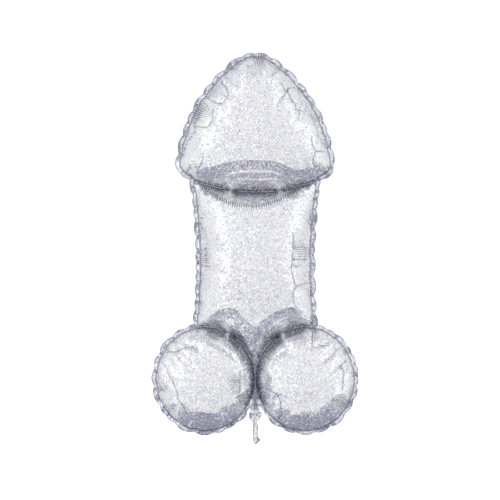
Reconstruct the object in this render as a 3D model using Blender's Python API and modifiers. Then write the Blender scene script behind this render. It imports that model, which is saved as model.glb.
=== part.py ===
# Foil party balloon, tall novelty shape: a pointed dome on an upright column over two round lobes.
# Two sheets of metallised film are welded together round the edge and along the lines between the
# four gas chambers, and a flat valve of two clear films lies in the tail between them.
# Metres, +Z up, the front faces -Y, and the origin is where the ribbon is tied round the tail.

import math

import bpy
import numpy as np
from mathutils import Vector
from mathutils.geometry import delaunay_2d_cdt, intersect_line_line_2d

# Overall sizes
HEIGHT = 0.9144  # bottom of the round lobes to the top of the dome, flat edge included
EDGE = 0.0095  # flat welded edge outside the seam
EDGE_WAVE = 0.0011  # how far the crimped edge waves in and out
EDGE_WAVE_LENGTH = 0.027
LOBE_DROP = 0.0264  # how far the round lobes reach below the origin

# Film
WALL = 0.0015
FILM = 0.0005
GAP = 0.0003

# Dome, measured from the origin
DOME_TOP = HEIGHT - LOBE_DROP - EDGE
DOME_TIP_RADIUS = 0.066
DOME_TIP_TURN = math.radians(38)
DOME_SIDE = (0.1776, 0.6380)
DOME_SIDE_SAG = 0.0270
DOME_CORNER = (0.1590, 0.5950)
DOME_CORNER_SAG = 0.0105
NECKLINE = (0.1464, 0.5840)
NECKLINE_DIP = 0.0275  # how far the weld under the dome drops at the middle

# Column
COLUMN_SAG = -0.0114
COLUMN_FOOT_WIDTH = 0.1404
COLUMN_TIP = 0.1460  # lowest point of the column, between the round lobes

# Round lobes
LOBE_RADIUS_X = 0.1172
LOBE_RADIUS_Z = 0.1231
LOBE_X = 0.1200
LOBE_Z = LOBE_RADIUS_Z + EDGE - LOBE_DROP

# Inner welds, and the short gas passages left open in them
WELD = 0.0040
PASSAGE = 0.0260
DOME_PASSAGE_X = 0.0576
LOBE_PASSAGE_TURN = math.radians(119)

# Tail
TAIL_WIDTH = 0.0200
TAIL_BAND = 0.0030
TAIL_END = -0.0504
TAIL_ROOT = 0.0300
VALVE_WIDTH = 0.0120
VALVE_END = -0.0600
VALVE_TOP = 0.0240

# How full the chambers are
LOBE_RISE = 0.61 * LOBE_RADIUS_X
FULLNESS = 0.46  # 0.5 makes each section an ellipse, less makes it flatter on top

# Main gathers, where the round of the film is taken up along the outer seams
DOME_GATHERS = (0.832, 0.786, 0.739, 0.694, 0.648)  # heights on the dome's side
COLUMN_GATHERS = (0.494, 0.438, 0.388, 0.334)
LOBE_GATHERS = (76, 46, 18, -14, -40, -64, -92, -122, -154)  # degrees round the right lobe
GATHER_DEPTH = 0.36  # share of the rise that a valley loses at the seam
GATHER_REACH = 0.0450  # how far a valley runs in from the seam
GATHER_WIDTH = 0.0230  # and how far its sides spread to the left and right

# Mesh spacing
SEAM_STEP = 0.0130
EDGE_STEP = 0.0090
INNER_STEP = 0.0260
RINGS = (0.0035, 0.0125)
VALLEY_STEPS = 4
MERGE = 0.00001
AXIS_NUDGE = 0.00005  # points on the axis count as inside a chamber that meets it


def start_scene():
    for obj in list(bpy.data.objects):
        bpy.data.objects.remove(obj, do_unlink=True)
    balloon = bpy.data.collections.new("foil_balloon")
    bpy.context.scene.collection.children.link(balloon)
    return balloon


def arc(start, end, sag, step):
    """Points from start to end on an arc that stands sag off the straight line, to its left."""
    a, b = np.array(start), np.array(end)
    chord = np.linalg.norm(b - a)
    along = (b - a) / chord
    left = np.array((-along[1], along[0]))
    count = max(2, round(chord / step))
    if abs(sag) < 1e-6:
        return [a + (b - a) * k / count for k in range(count + 1)]
    radius = (chord**2 / 4 + sag**2) / (2 * sag)
    centre = (a + b) / 2 + left * (sag - radius)
    half = math.asin(chord / 2 / abs(radius))
    turns = np.linspace(-half, half, count + 1)
    return [centre + radius * left * math.cos(t) + abs(radius) * along * math.sin(t) for t in turns]


def lobe(extra, first, last, step):
    """Points round a lobe's seam, or outside it by extra, from angle first to last."""
    wide, tall = LOBE_RADIUS_X + extra, LOBE_RADIUS_Z + extra
    count = round(abs(last - first) * (wide + tall) / 2 / step)
    return [
        np.array((LOBE_X + wide * math.cos(t), LOBE_Z + tall * math.sin(t)))
        for t in np.linspace(first, last, count + 1)
    ]


def offset(path, distance, wave=0.0):
    """The path moved to its left by distance, waving in and out by wave."""
    path = np.array(path)
    along = np.gradient(path, axis=0)
    along /= np.linalg.norm(along, axis=1)[:, None]
    left = np.column_stack((-along[:, 1], along[:, 0]))
    run = np.concatenate(([0], np.cumsum(np.linalg.norm(np.diff(path, axis=0), axis=1))))
    shift = distance + wave * np.cos(2 * math.pi * run / EDGE_WAVE_LENGTH)
    return list(path + left * shift[:, None])


def cut_at_crossing(first, second):
    """First up to where it crosses second, then second from there on."""
    for i in range(len(first) - 1):
        for j in range(len(second) - 1):
            hit = intersect_line_line_2d(first[i], first[i + 1], second[j], second[j + 1])
            if hit:
                return first[: i + 1] + [np.array(hit)], [np.array(hit)] + second[j + 1 :]
    raise ValueError("the two paths don't cross")


def dome_side(step):
    """Right side of the dome, from its tip down to the neckline."""
    tip = DOME_TIP_RADIUS
    shoulder = (tip * math.sin(DOME_TIP_TURN), DOME_TOP - tip * (1 - math.cos(DOME_TIP_TURN)))
    half_chord = math.dist((0, DOME_TOP), shoulder) / 2
    sag = tip - math.sqrt(tip**2 - half_chord**2)
    return (
        arc((0, DOME_TOP), shoulder, sag, step)
        + arc(shoulder, DOME_SIDE, DOME_SIDE_SAG, step)[1:]
        + arc(DOME_SIDE, DOME_CORNER, DOME_CORNER_SAG, step)[1:]
        + arc(DOME_CORNER, NECKLINE, 0, step)[1:]
    )


def column_side(step, drop):
    """Right side of the column, from drop below the neckline's end to inside the round lobe."""
    foot = (COLUMN_FOOT_WIDTH, LOBE_Z + 0.95 * LOBE_RADIUS_Z)
    return arc((NECKLINE[0], NECKLINE[1] - drop), foot, COLUMN_SAG, step)


def neckline(step, drop):
    """Right half of one side of the weld under the dome, from its outer end to the middle."""
    right, left = [(x, NECKLINE[1] - drop) for x in (NECKLINE[0], -NECKLINE[0])]
    whole = arc(right, left, NECKLINE_DIP, step)
    return [p for p in whole if p[0] > step / 3] + [np.array((0, right[1] - NECKLINE_DIP))]


def outer_edge():
    """Right half of the sheet's cut edge, from the top of the dome to the end of the tail."""
    dome = offset(dome_side(EDGE_STEP), EDGE, EDGE_WAVE)
    dome[0][0] = 0
    column = offset(column_side(EDGE_STEP, 0), EDGE, EDGE_WAVE)
    round_lobe = offset(lobe(0, math.radians(120), math.radians(-175), EDGE_STEP), EDGE, EDGE_WAVE)
    tail = arc((TAIL_WIDTH / 2, TAIL_ROOT + EDGE), (TAIL_WIDTH / 2, TAIL_END), 0, EDGE_STEP)
    dome, column = cut_at_crossing(dome, column)
    column, round_lobe = cut_at_crossing(column, round_lobe)
    round_lobe, tail = cut_at_crossing(round_lobe, tail)
    return dome + column[1:] + round_lobe[1:] + tail[1:] + [np.array((0, TAIL_END))]


def distance_to(path, points):
    """Shortest distance from each point to a path of straight pieces."""
    best = np.full(len(points), np.inf)
    for a, b in zip(path[:-1], path[1:]):
        along = b - a
        share = np.clip((points - a) @ along / (along @ along), 0, 1)
        best = np.minimum(best, np.linalg.norm(points - a - share[:, None] * along, axis=1))
    return best


def inside(loop, points):
    """Whether each point lies inside a loop, whose last point joins its first."""
    odd = np.zeros(len(points), bool)
    for a, b in zip(loop, loop[1:] + loop[:1]):
        if a[1] == b[1]:
            continue
        spans = (a[1] > points[:, 1]) != (b[1] > points[:, 1])
        cross = a[0] + (points[:, 1] - a[1]) * (b[0] - a[0]) / (b[1] - a[1])
        odd ^= spans & (points[:, 0] < cross)
    return odd


def seam_layout():
    """The seams of the right half's three chambers, each a path that starts and ends on the axis
    or, for the round lobe, where it began."""
    dome = dome_side(SEAM_STEP) + neckline(SEAM_STEP, 0)[1:]
    weld = neckline(SEAM_STEP, WELD)[::-1]
    over_lobe = lobe(WELD, math.radians(60), math.radians(180), SEAM_STEP)
    side, flank = cut_at_crossing(column_side(SEAM_STEP, WELD), over_lobe)
    flank, tip = cut_at_crossing(flank, [np.array((LOBE_X, COLUMN_TIP)), np.array((0, COLUMN_TIP))])
    column = weld + side[1:] + flank[1:] + tip[1:]
    round_lobe = lobe(0, math.radians(120), math.radians(120 - 360), SEAM_STEP)
    return dome, column, round_lobe


def gathers():
    """The main gathers of the right half: for each, its place on the seam and the way inwards."""
    found = []
    dome, column = dome_side(SEAM_STEP), column_side(SEAM_STEP, WELD)
    for side, heights in ((dome, DOME_GATHERS), (column, COLUMN_GATHERS)):
        x, z = np.array(side[::-1]).T
        for height in heights:
            place = np.array((np.interp(height, z, x), height))
            below = np.array((np.interp(height - SEAM_STEP / 2, z, x), height - SEAM_STEP / 2))
            along = (below - place) / np.linalg.norm(below - place)
            found.append((place, np.array((along[1], -along[0]))))
    for turn in np.radians(LOBE_GATHERS):
        place = lobe(0, turn, turn, SEAM_STEP)[0]
        found.append((place, -np.array((math.cos(turn), math.sin(turn)))))
    return found


def valleys():
    """The bottom line of each gather, from the seam inwards."""
    steps = np.linspace(0, GATHER_REACH, VALLEY_STEPS + 1)
    return [[place + inwards * step for step in steps] for place, inwards in gathers()]


def gathered(points):
    """The share of its rise that each point keeps beside the gathers."""
    kept = np.ones(len(points))
    for place, inwards in gathers():
        into = (points - place) @ inwards
        across = np.abs((points - place) @ (-inwards[1], inwards[0]))
        fade = np.clip(1 - into / GATHER_REACH, 0, 1) * (into > -SEAM_STEP)
        kept *= 1 - GATHER_DEPTH * fade * np.clip(1 - across / GATHER_WIDTH, 0, 1)
    return kept


def valve_pocket():
    """Where the tail's plies spread over the valve films."""
    side = TAIL_WIDTH / 2 - TAIL_BAND
    return arc((side, TAIL_END), (side, TAIL_ROOT), 0, SEAM_STEP) + [np.array((0, TAIL_ROOT))]


def inner_points(seam):
    """Points inside one chamber: rings close to the seam, where it is roundest, then an even grid."""
    rows = np.arange(TAIL_END, HEIGHT, INNER_STEP * math.sqrt(3) / 2)
    found = [p for distance in RINGS for p in offset(seam, -distance)]
    found += [np.array((0, z)) for z in rows]
    for row, z in enumerate(rows):
        start = INNER_STEP * (1 - row % 2 / 2)
        found += [np.array((x, z)) for x in np.arange(start, 2 * LOBE_X + EDGE, INNER_STEP)]
    found = np.array(found)
    clear = distance_to(seam, found)
    within = inside(seam, found + (AXIS_NUDGE, 0)) & (clear > 0.9 * RINGS[0])
    for valley in valleys():
        within &= distance_to(valley, found) > GATHER_REACH / VALLEY_STEPS / 2
    kept = []
    for point, room in zip(found[within], clear[within]):
        near = 0.62 * min(room + SEAM_STEP / 2, INNER_STEP)
        off_axis = point[0] == 0 or point[0] > near / 2
        if off_axis and all(np.linalg.norm(point - other) > near for other in kept):
            kept.append(point)
    return kept


def triangulated():
    """The right half of a sheet, flat: its points, triangles and which points are free to rise."""
    seams = seam_layout()
    points, edges = [], []
    for path in (*seams, valve_pocket(), outer_edge(), *valleys()):
        edges += [(len(points) + k, len(points) + k + 1) for k in range(len(path) - 1)]
        points += path
    for seam in seams:
        points += inner_points(seam)
    on_axis = sorted((p[1], k) for k, p in enumerate(points) if p[0] == 0)
    edges += [(a, b) for (_, a), (_, b) in zip(on_axis, on_axis[1:])]
    made = delaunay_2d_cdt([Vector(p) for p in points], edges, [], 1, MERGE)
    flat = np.array([tuple(p) for p in made[0]])
    triangles = [list(face) for face in made[2]]
    welded = np.min([distance_to(seam, flat) for seam in seams], axis=0) < 2 * MERGE
    within = np.any([inside(seam, flat + (AXIS_NUDGE, 0)) for seam in seams], axis=0)
    return flat, triangles, np.where(welded, in_passage(flat), within)


def in_passage(points):
    """Points in the short gaps of the inner welds, where gas runs from chamber to chamber."""
    drop = NECKLINE_DIP * (1 - (DOME_PASSAGE_X / NECKLINE[0]) ** 2)
    dome = np.array((DOME_PASSAGE_X, NECKLINE[1] - drop))
    round_lobe = np.array((
        LOBE_X + LOBE_RADIUS_X * math.cos(LOBE_PASSAGE_TURN),
        LOBE_Z + LOBE_RADIUS_Z * math.sin(LOBE_PASSAGE_TURN),
    ))
    near = [np.linalg.norm(points - centre, axis=1) < PASSAGE / 2 for centre in (dome, round_lobe)]
    return np.any(near, axis=0)


def membrane(points, triangles, free):
    """How high an even pressure lifts a stretched skin that is held wherever it isn't free."""
    stiffness = np.zeros((len(points), len(points)))
    load = np.zeros(len(points))
    for triangle in triangles:
        a, b, c = points[triangle]
        sides = np.array((c - b, a - c, b - a))
        twice_area = abs((b - a)[0] * (c - a)[1] - (b - a)[1] * (c - a)[0])
        stiffness[np.ix_(triangle, triangle)] += sides @ sides.T / (2 * twice_area)
        load[triangle] += twice_area / 6
    lift = np.zeros(len(points))
    lift[free] = np.linalg.solve(stiffness[np.ix_(free, free)], load[free])
    return np.maximum(lift, 0)


def sheet_heights(points, triangles, free):
    """How far the outer face of a sheet stands off the seam's plane."""
    lift = membrane(points, triangles, free)
    middle = np.argmin(np.linalg.norm(points - (LOBE_X, LOBE_Z), axis=1))
    rise = LOBE_RISE * (lift / lift[middle]) ** FULLNESS * gathered(points)
    in_tail = np.all(points < (TAIL_WIDTH / 2 - TAIL_BAND + MERGE, TAIL_ROOT + MERGE), axis=1)
    return GAP / 2 + WALL + rise + in_tail * (FILM + GAP)


def make_sheet(name, facing, shape, finish, collection):
    """One sheet of film: the right half bulged out by the gas, mirrored, then given its wall."""
    points, triangles, heights = shape
    verts = [(x, facing * height, z) for (x, z), height in zip(points, heights)]
    faces = triangles if facing < 0 else [face[::-1] for face in triangles]
    mesh = bpy.data.meshes.new(name)
    mesh.from_pydata(verts, [], faces)
    mesh.materials.append(finish)
    obj = bpy.data.objects.new(name, mesh)
    collection.objects.link(obj)
    mirror = obj.modifiers.new("mirror", "MIRROR")
    mirror.use_axis = (True, False, False)
    mirror.merge_threshold = 0.00002
    wall = obj.modifiers.new("wall", "SOLIDIFY")
    wall.thickness = WALL
    wall.offset = -1
    return obj


def make_valve_film(name, facing, finish, collection):
    """One clear film of the flat valve, between the tail's two plies."""
    bpy.ops.mesh.primitive_cube_add(size=1)
    obj = bpy.context.object
    obj.name = name
    obj.dimensions = (VALVE_WIDTH, FILM, VALVE_TOP - VALVE_END)
    obj.location = (0, facing * (GAP / 2 + FILM / 2), (VALVE_TOP + VALVE_END) / 2)
    bpy.ops.object.transform_apply(location=False, rotation=False, scale=True)
    obj.data.materials.append(finish)
    bpy.context.collection.objects.unlink(obj)
    collection.objects.link(obj)
    return obj


def material(name, colour, roughness, metallic, alpha=1.0):
    made = bpy.data.materials.new(name)
    made.use_nodes = True
    shader = made.node_tree.nodes["Principled BSDF"]
    shader.inputs["Base Color"].default_value = (*colour, 1)
    shader.inputs["Roughness"].default_value = roughness
    shader.inputs["Metallic"].default_value = metallic
    shader.inputs["Alpha"].default_value = alpha
    return made


def main():
    balloon = start_scene()
    foil = material("metallised_film", (0.80, 0.80, 0.86), 0.22, 1.0)
    clear = material("clear_film", (0.93, 0.95, 0.96), 0.15, 0.0, 0.6)
    points, triangles, free = triangulated()
    shape = points, triangles, sheet_heights(points, triangles, free)
    for name, facing in (("front_sheet", -1), ("back_sheet", 1)):
        make_sheet(name, facing, shape, foil, balloon)
    for name, facing in (("valve_front_film", -1), ("valve_back_film", 1)):
        make_valve_film(name, facing, clear, balloon)


main()
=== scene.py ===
# A foil party balloon blown full, held by its tail above a pale studio floor.
# Metres, Z up, and the balloon's front faces -Y.
import math
import random
from functools import partial

import bmesh
import bpy
import numpy as np
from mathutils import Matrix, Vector, noise
from mathutils.bvhtree import BVHTree
from mathutils.geometry import delaunay_2d_cdt, intersect_line_line_2d


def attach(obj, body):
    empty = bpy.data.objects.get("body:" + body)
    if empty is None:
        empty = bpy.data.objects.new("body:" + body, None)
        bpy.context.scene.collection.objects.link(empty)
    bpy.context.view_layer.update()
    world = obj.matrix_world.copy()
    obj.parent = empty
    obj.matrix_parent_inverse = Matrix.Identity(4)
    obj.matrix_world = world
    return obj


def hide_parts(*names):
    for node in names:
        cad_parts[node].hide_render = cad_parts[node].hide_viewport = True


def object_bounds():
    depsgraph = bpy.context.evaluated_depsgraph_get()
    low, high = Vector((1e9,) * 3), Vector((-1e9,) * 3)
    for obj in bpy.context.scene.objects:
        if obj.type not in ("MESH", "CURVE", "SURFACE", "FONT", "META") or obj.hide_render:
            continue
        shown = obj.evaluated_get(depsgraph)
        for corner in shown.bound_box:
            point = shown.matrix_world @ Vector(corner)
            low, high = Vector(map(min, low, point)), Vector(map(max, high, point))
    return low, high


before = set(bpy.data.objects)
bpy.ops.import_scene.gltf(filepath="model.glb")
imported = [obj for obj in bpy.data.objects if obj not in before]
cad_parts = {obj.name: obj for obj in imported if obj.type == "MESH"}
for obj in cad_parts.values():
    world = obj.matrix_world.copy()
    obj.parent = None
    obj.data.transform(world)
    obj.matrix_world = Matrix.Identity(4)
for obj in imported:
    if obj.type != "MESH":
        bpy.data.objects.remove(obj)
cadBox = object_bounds()
print("frame loaded:", sorted(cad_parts))


def linearColor(hexText):
    # sRGB hex to the linear values that a shader takes
    parts = [int(hexText[k:k + 2], 16) / 255 for k in (1, 3, 5)]
    return [c / 12.92 if c <= 0.04045 else ((c + 0.055) / 1.055) ** 2.4 for c in parts] + [1]


def addNode(tree, kind, settings=None, inputs=None):
    # one node with its settings; an input gets a value, an output or the first output of another node
    node = tree.nodes.new(kind)
    for name, value in (settings or {}).items():
        setattr(node, name, value)
    for name, value in (inputs or {}).items():
        if isinstance(value, bpy.types.Node):
            value = value.outputs[0]
        if isinstance(value, bpy.types.NodeSocket):
            tree.links.new(value, node.inputs[name])
        else:
            node.inputs[name].default_value = value
    return node


def newMaterial(title):
    # a material with its node tree and its shader
    m = bpy.data.materials.new(title)
    m.use_nodes = True
    return m, m.node_tree, m.node_tree.nodes["Principled BSDF"]


def addObject(title, data):
    made = bpy.data.objects.new(title, data)
    bpy.context.scene.collection.objects.link(made)
    return made


# The welded outline once the balloon is full, measured from the ribbon tie on the tail
outline = {
    "edge": 0.0095,  # flat weld outside the seam
    "domeTop": 0.8785,
    "domeTipRadius": 0.066,
    "domeTipTurn": math.radians(38),
    "domeSide": (0.1776, 0.6380),
    "domeSideSag": 0.0270,
    "domeCorner": (0.1590, 0.5950),
    "domeCornerSag": 0.0105,
    "neckEnd": (0.1464, 0.5840),
    "neckDip": 0.0275,
    "columnSag": -0.0114,
    "columnFoot": (0.1404, 0.22315),
    "columnTip": 0.1460,
    "lobeX": 0.1200,
    "lobeZ": 0.1062,
    "lobeWide": 0.1172,
    "lobeTall": 0.1231,
    # parts of a lobe's outline, in degrees round its middle
    "lobeOuter": (120, -175),
    "lobeWhole": (120, -240),
    "lobeTop": (60, 180),
    "lobeSmooth": (75, 190),
    "weld": 0.0040,  # band between two chambers
    "passage": 0.026,
    "neckPassageX": 0.0576,
    "lobePassageTurn": math.radians(119),
    "tailHalf": 0.0100,
    "tailReach": 0.018,
    "tailRoot": 0.0700,
    "tailTop": 0.0280,
    "tailEnd": -0.0504,
}


def arcPoints(start, end, sag, step):
    # an arc from start to end that stands sag to the left of the straight line
    a, b = np.array(start, float), np.array(end, float)
    chord = np.linalg.norm(b - a)
    along = (b - a) / chord
    left = np.array((-along[1], along[0]))
    count = max(2, round(chord / step))
    if abs(sag) < 1e-6:
        return [a + (b - a) * k / count for k in range(count + 1)]
    radius = (chord**2 / 4 + sag**2) / (2 * sag)
    centre = (a + b) / 2 + left * (sag - radius)
    half = math.asin(chord / 2 / abs(radius))
    turns = np.linspace(-half, half, count + 1)
    return [centre + radius * left * math.cos(t) + abs(radius) * along * math.sin(t) for t in turns]


def lobeArc(extra, turns, step):
    # part of a lobe's outline, extra metres outside it
    first, last = turns
    wide, tall = outline["lobeWide"] + extra, outline["lobeTall"] + extra
    count = round(math.radians(abs(last - first)) * (wide + tall) / 2 / step)
    turns = np.radians(np.linspace(first, last, count + 1))
    x, z = outline["lobeX"], outline["lobeZ"]
    return [np.array((x + wide * math.cos(t), z + tall * math.sin(t))) for t in turns]


def lobePassage():
    # where the gas passes through the weld over a lobe
    turn = outline["lobePassageTurn"]
    return (outline["lobeX"] + outline["lobeWide"] * math.cos(turn),
            outline["lobeZ"] + outline["lobeTall"] * math.sin(turn))


def offsetPath(path, distance):
    # the path moved to its left
    path = np.array(path)
    along = np.gradient(path, axis=0)
    along /= np.linalg.norm(along, axis=1)[:, None]
    return list(path + distance * np.column_stack((-along[:, 1], along[:, 0])))


def joinAtCrossing(first, second):
    # the first path up to where the two cross, and the second from there on
    for i in range(len(first) - 1):
        for j in range(len(second) - 1):
            hit = intersect_line_line_2d(first[i], first[i + 1], second[j], second[j + 1])
            if hit:
                return first[: i + 1] + [np.array(hit)], [np.array(hit)] + second[j + 1:]
    raise ValueError("two outline paths don't cross")


def domeSide(step):
    tip, turn, top = outline["domeTipRadius"], outline["domeTipTurn"], outline["domeTop"]
    shoulder = (tip * math.sin(turn), top - tip * (1 - math.cos(turn)))
    halfChord = math.dist((0, top), shoulder) / 2
    tipSag = tip - math.sqrt(tip**2 - halfChord**2)
    return (
        arcPoints((0, top), shoulder, tipSag, step)
        + arcPoints(shoulder, outline["domeSide"], outline["domeSideSag"], step)[1:]
        + arcPoints(outline["domeSide"], outline["domeCorner"], outline["domeCornerSag"], step)[1:]
        + arcPoints(outline["domeCorner"], outline["neckEnd"], 0, step)[1:]
    )


def columnSide(step, drop):
    x, z = outline["neckEnd"]
    return arcPoints((x, z - drop), outline["columnFoot"], outline["columnSag"], step)


def neckWeld(step, drop):
    x, z = outline["neckEnd"]
    whole = arcPoints((x, z - drop), (-x, z - drop), outline["neckDip"], step)
    return [p for p in whole if p[0] > step / 3] + [np.array((0, z - drop - outline["neckDip"]))]


def outerPath(step, width):
    # right half of the silhouette at a width outside the seam, from the dome's tip to the tail's end
    dome = offsetPath(domeSide(step), width)
    dome[0][0] = 0
    column = offsetPath(columnSide(step, 0), width)
    lobe = offsetPath(lobeArc(0, outline["lobeOuter"], step), width)
    half, end = outline["tailHalf"], outline["tailEnd"]
    strip = arcPoints((half, outline["tailRoot"]), (half, end), 0, step)
    dome, column = joinAtCrossing(dome, column)
    column, lobe = joinAtCrossing(column, lobe)
    lobe, strip = joinAtCrossing(lobe, strip)
    return dome + column[1:] + lobe[1:] + strip[1:] + [np.array((0, end))]


def chamberSeams(step):
    # right half of the seams round the dome and the column, and the seam round a lobe
    dome = domeSide(step) + neckWeld(step, 0)[1:]
    overLobe = lobeArc(outline["weld"], outline["lobeTop"], step)
    side, flank = joinAtCrossing(columnSide(step, outline["weld"]), overLobe)
    tip = arcPoints((outline["lobeX"], outline["columnTip"]), (0, outline["columnTip"]), 0, step)
    flank, tip = joinAtCrossing(flank, tip)
    column = neckWeld(step, outline["weld"])[::-1] + side[1:] + flank[1:] + tip[1:]
    return dome, column, lobeArc(0, outline["lobeWhole"], step)


def nearestOn(path, points):
    # for each point: its distance to the path, how far along the path that is, and the path's left there
    best = np.full(len(points), np.inf)
    run, left, start = np.zeros(len(points)), np.zeros((len(points), 2)), 0
    for a, b in zip(path[:-1], path[1:]):
        along = b - a
        length = np.linalg.norm(along)
        share = np.clip((points - a) @ along / length**2, 0, 1)
        gap = np.linalg.norm(points - a - share[:, None] * along, axis=1)
        closer = gap < best
        best[closer] = gap[closer]
        run[closer] = start + share[closer] * length
        left[closer] = np.array((-along[1], along[0])) / length
        start += length
    return best, run, left


def insideLoop(loop, points):
    # which points lie inside a closed loop
    odd = np.zeros(len(points), bool)
    for a, b in zip(loop, loop[1:] + loop[:1]):
        if a[1] != b[1]:
            spans = (a[1] > points[:, 1]) != (b[1] > points[:, 1])
            cross = a[0] + (points[:, 1] - a[1]) * (b[0] - a[0]) / (b[1] - a[1])
            odd ^= spans & (points[:, 0] < cross)
    return odd


# How fine the film's mesh is, and how its edge is gathered
film = {
    "step": 0.0090,
    "edgeStep": 0.0042,
    "axisNudge": 0.00002,
    "rimNudge": 0.0001,
    "room": 0.55,  # share of a step that free points keep off the lines, and the same on the edge
    "edgeRoom": 0.7,
    "edgeBound": 1.6,  # no gather takes the edge farther out than this many widths
    "scallopShort": 0.020,  # the edge bows out between gathers 20 to 52 mm apart
    "scallopLong": 0.052,
    "scallopDepth": 0.0085,
    "bowShape": 0.7,
    "swingShares": (0.45, 1),  # the least and the most that a stretch between two gathers swings
    "rimShare": 0.3,  # how much of it the seam itself takes
    "edgeSwing": 0.0050,  # and swings to the front and back
    "seamSwing": 0.0009,
    "weldSwing": 0.0024,
    "plyGap": 0.0003,
    "foldDepth": 0.0021,  # how far a fold line sinks between the facets beside it
    "standEase": 0.012,  # ridges die out this near a seam
    # the dashes there are painted shade of fine pleats
    "hatchedHalf": 0.0095,  # band of short dashes along the ridge under the neck
    "hatchedStrength": 1.25,
    # how far from the welds inside the outline the foil lies smoother: at the neck, above the lobes, in them
    "neckReach": 0.125,
    "footReach": 0.125,
    "lobeReach": 0.050,
    "underReach": 0.056,
}

# Sharp fold lines pressed into each side of the balloon by its edge gathers: points across and up
folds = {
    "right": (
        ((0.0947, 0.8053), (0.0718, 0.7952), (0.06, 0.809)),
        ((0.0381, 0.8274), (0.0457, 0.835), (0.0534, 0.839)),
        ((0.0718, 0.7952), (0.096, 0.75), (0.118, 0.739)),
        ((0.1284, 0.6835), (0.1345, 0.6621), (0.144, 0.65), (0.164, 0.65)),
        ((0.144, 0.65), (0.1345, 0.6284), (0.1422, 0.608)),
        ((0.085, 0.456), (0.0856, 0.4352), (0.0833, 0.3985), (0.0845, 0.3526), (0.0914, 0.3296),
         (0.0868, 0.3112), (0.0902, 0.286), (0.124, 0.252)),
        ((0.085, 0.4214), (0.124, 0.4214)),
        ((0.0833, 0.3927), (0.125, 0.3927)),
        ((0.0914, 0.3296), (0.106, 0.33), (0.125, 0.337)),
        ((0.1362, 0.218), (0.1346, 0.1833)),
        ((0.154, 0.1885), (0.164, 0.1855), (0.1733, 0.184)),
        ((0.2322, 0.153), (0.2002, 0.1412), (0.2103, 0.1294), (0.207, 0.0806)),
        ((0.0268, 0.084), (0.0521, 0.0755), (0.0588, 0.0587), (0.0645, 0.0277), (0.056, 0.008)),
        ((0.1261, 0.025), (0.1278, -0.01)),
    ),
    "left": (
        ((0.118, 0.7799), (0.1058, 0.7723), (0.0859, 0.7594), (0.069, 0.7692), (0.0614, 0.7876),
         (0.0675, 0.8029), (0.0843, 0.8182)),
        ((0.1486, 0.711), (0.1303, 0.7065), (0.1119, 0.7025), (0.0996, 0.7202), (0.0966, 0.7478)),
        ((0.1394, 0.5978), (0.129, 0.618), (0.1211, 0.6376)),
        ((0.137, 0.4926), (0.1256, 0.4921)),
        ((0.13, 0.3778), (0.1049, 0.3778)),
        ((0.1244, 0.4187), (0.1118, 0.418)),
        ((0.2123, 0.1698), (0.1803, 0.1732), (0.1483, 0.1866)),
        ((0.1938, 0.1058), (0.182, 0.0587), (0.1635, 0.0267)),
        ((0.2318, 0.0795), (0.215, 0.0782)),
        ((0.0372, 0.126), (0.0372, 0.076)),
    ),
}

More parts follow.
